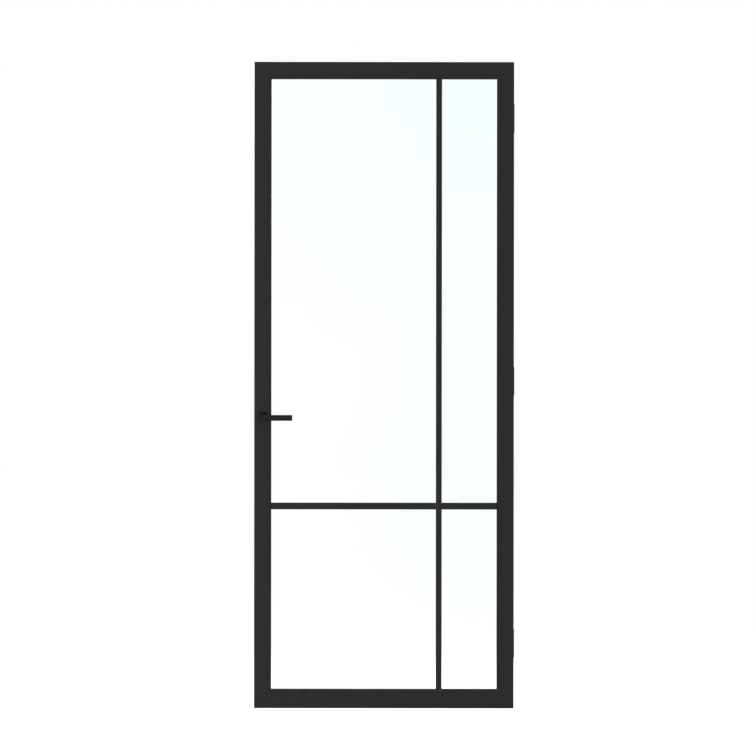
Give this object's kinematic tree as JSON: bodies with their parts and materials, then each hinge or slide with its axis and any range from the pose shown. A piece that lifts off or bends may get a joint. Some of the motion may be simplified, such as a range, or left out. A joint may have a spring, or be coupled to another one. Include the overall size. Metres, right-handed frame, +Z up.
{
  "type": "glass door",
  "caption": "Slim black metal-framed glass door leaf with off-centre glazing bars, a lever handle with a flush magnetic latch, and hinges on the hidden side.",
  "frame": {"origin": "middle of the leaf's lower edge, halfway through the leaf's thickness", "axes": "+X along the leaf towards the hinges, +Y through the leaf to its hidden side, +Z up"},
  "size_m": [0.9325, 0.156, 2.315],
  "materials": {
    "black_coat": "matt black powder coat on aluminium",
    "black_fittings": "satin black plated zinc",
    "clear_glass": "clear toughened glass",
    "seal_rubber": "black EPDM seal",
    "steel": "brushed steel",
    "cleat_aluminium": "mill aluminium",
    "black_plastic": "black moulded plastic",
    "pale_nylon": "natural nylon"
  },
  "bodies": {
    "root": {"hinge_frame_plate_bottom": "black_coat", "hinge_frame_plate_middle": "black_coat", "hinge_frame_plate_top": "black_coat", "hinge_pin_bottom": "black_fittings", "hinge_pin_middle": "black_fittings", "hinge_pin_top": "black_fittings", "hinge_washers": "black_plastic"},
    "leaf": {"back_bar_tape": "black_plastic", "back_cross_bar_narrow": "black_coat", "back_cross_bar_wide": "black_coat", "back_gasket": "seal_rubber", "back_neck_bush": "pale_nylon", "back_rose_base": "cleat_aluminium", "back_rose_cover": "black_fittings", "back_upright_bar": "black_coat", "bead_bottom": "black_coat", "bead_hinge_side": "black_coat", "bead_lock_side": "black_coat", "bead_top": "black_coat", "bottom_rail": "black_coat", "corner_cleat_bottom_hinge": "cleat_aluminium", "corner_cleat_bottom_lock": "cleat_aluminium", "corner_cleat_top_hinge": "cleat_aluminium", "corner_cleat_top_lock": "cleat_aluminium", "corner_screws": "steel", "cover_screws": "steel", "edge_plugs": "black_plastic", "forend": "steel", "forend_brackets": "steel", "forend_screws": "steel", "front_bar_tape": "black_plastic", "front_cross_bar_narrow": "black_coat", "front_cross_bar_wide": "black_coat", "front_gasket": "seal_rubber", "front_neck_bush": "pale_nylon", "front_rose_base": "cleat_aluminium", "front_rose_cover": "black_fittings", "front_upright_bar": "black_coat", "glass_pane": "clear_glass", "hinge_backers": "steel", "hinge_leaf_plate_bottom": "black_coat", "hinge_leaf_plate_middle": "black_coat", "hinge_leaf_plate_top": "black_coat", "hinge_screws": "black_coat", "hinge_stile": "black_coat", "latch_spring": "steel", "lock_case": "steel", "lock_cover": "steel", "lock_stile": "black_coat", "return_spring": "steel", "rose_screws": "steel", "setting_blocks": "black_plastic", "stile_caps": "black_plastic", "top_rail": "black_coat"},
    "lever": {"front_lever": "black_fittings", "back_lever": "black_fittings", "spindle": "steel", "follower": "steel", "lever_grub_screws": "steel"},
    "latch": {"latch_bolt": "steel"}
  },
  "joints": [
    {"name": "leaf_swing", "type": "hinge", "parent": "root", "child": "leaf", "pos_m": [0.461, 0.0265, 0], "axis": [0, 0, -1], "range_deg": [0, 95]},
    {"name": "lever_turn", "type": "hinge", "parent": "leaf", "child": "lever", "pos_m": [-0.435, 0, 1.044], "axis": [0, 1, 0], "range_deg": [0, 36], "stiffness_Nm_per_rad": 1.2, "springref_deg": -20.05, "deforming": ["return_spring"]},
    {"name": "latch_slide", "type": "slide", "parent": "leaf", "child": "latch", "axis": [-1, 0, 0], "range_m": [0, 0.0117], "stiffness_N_per_m": 40, "springref_m": -0.004, "deforming": ["latch_spring"]}
  ]
}
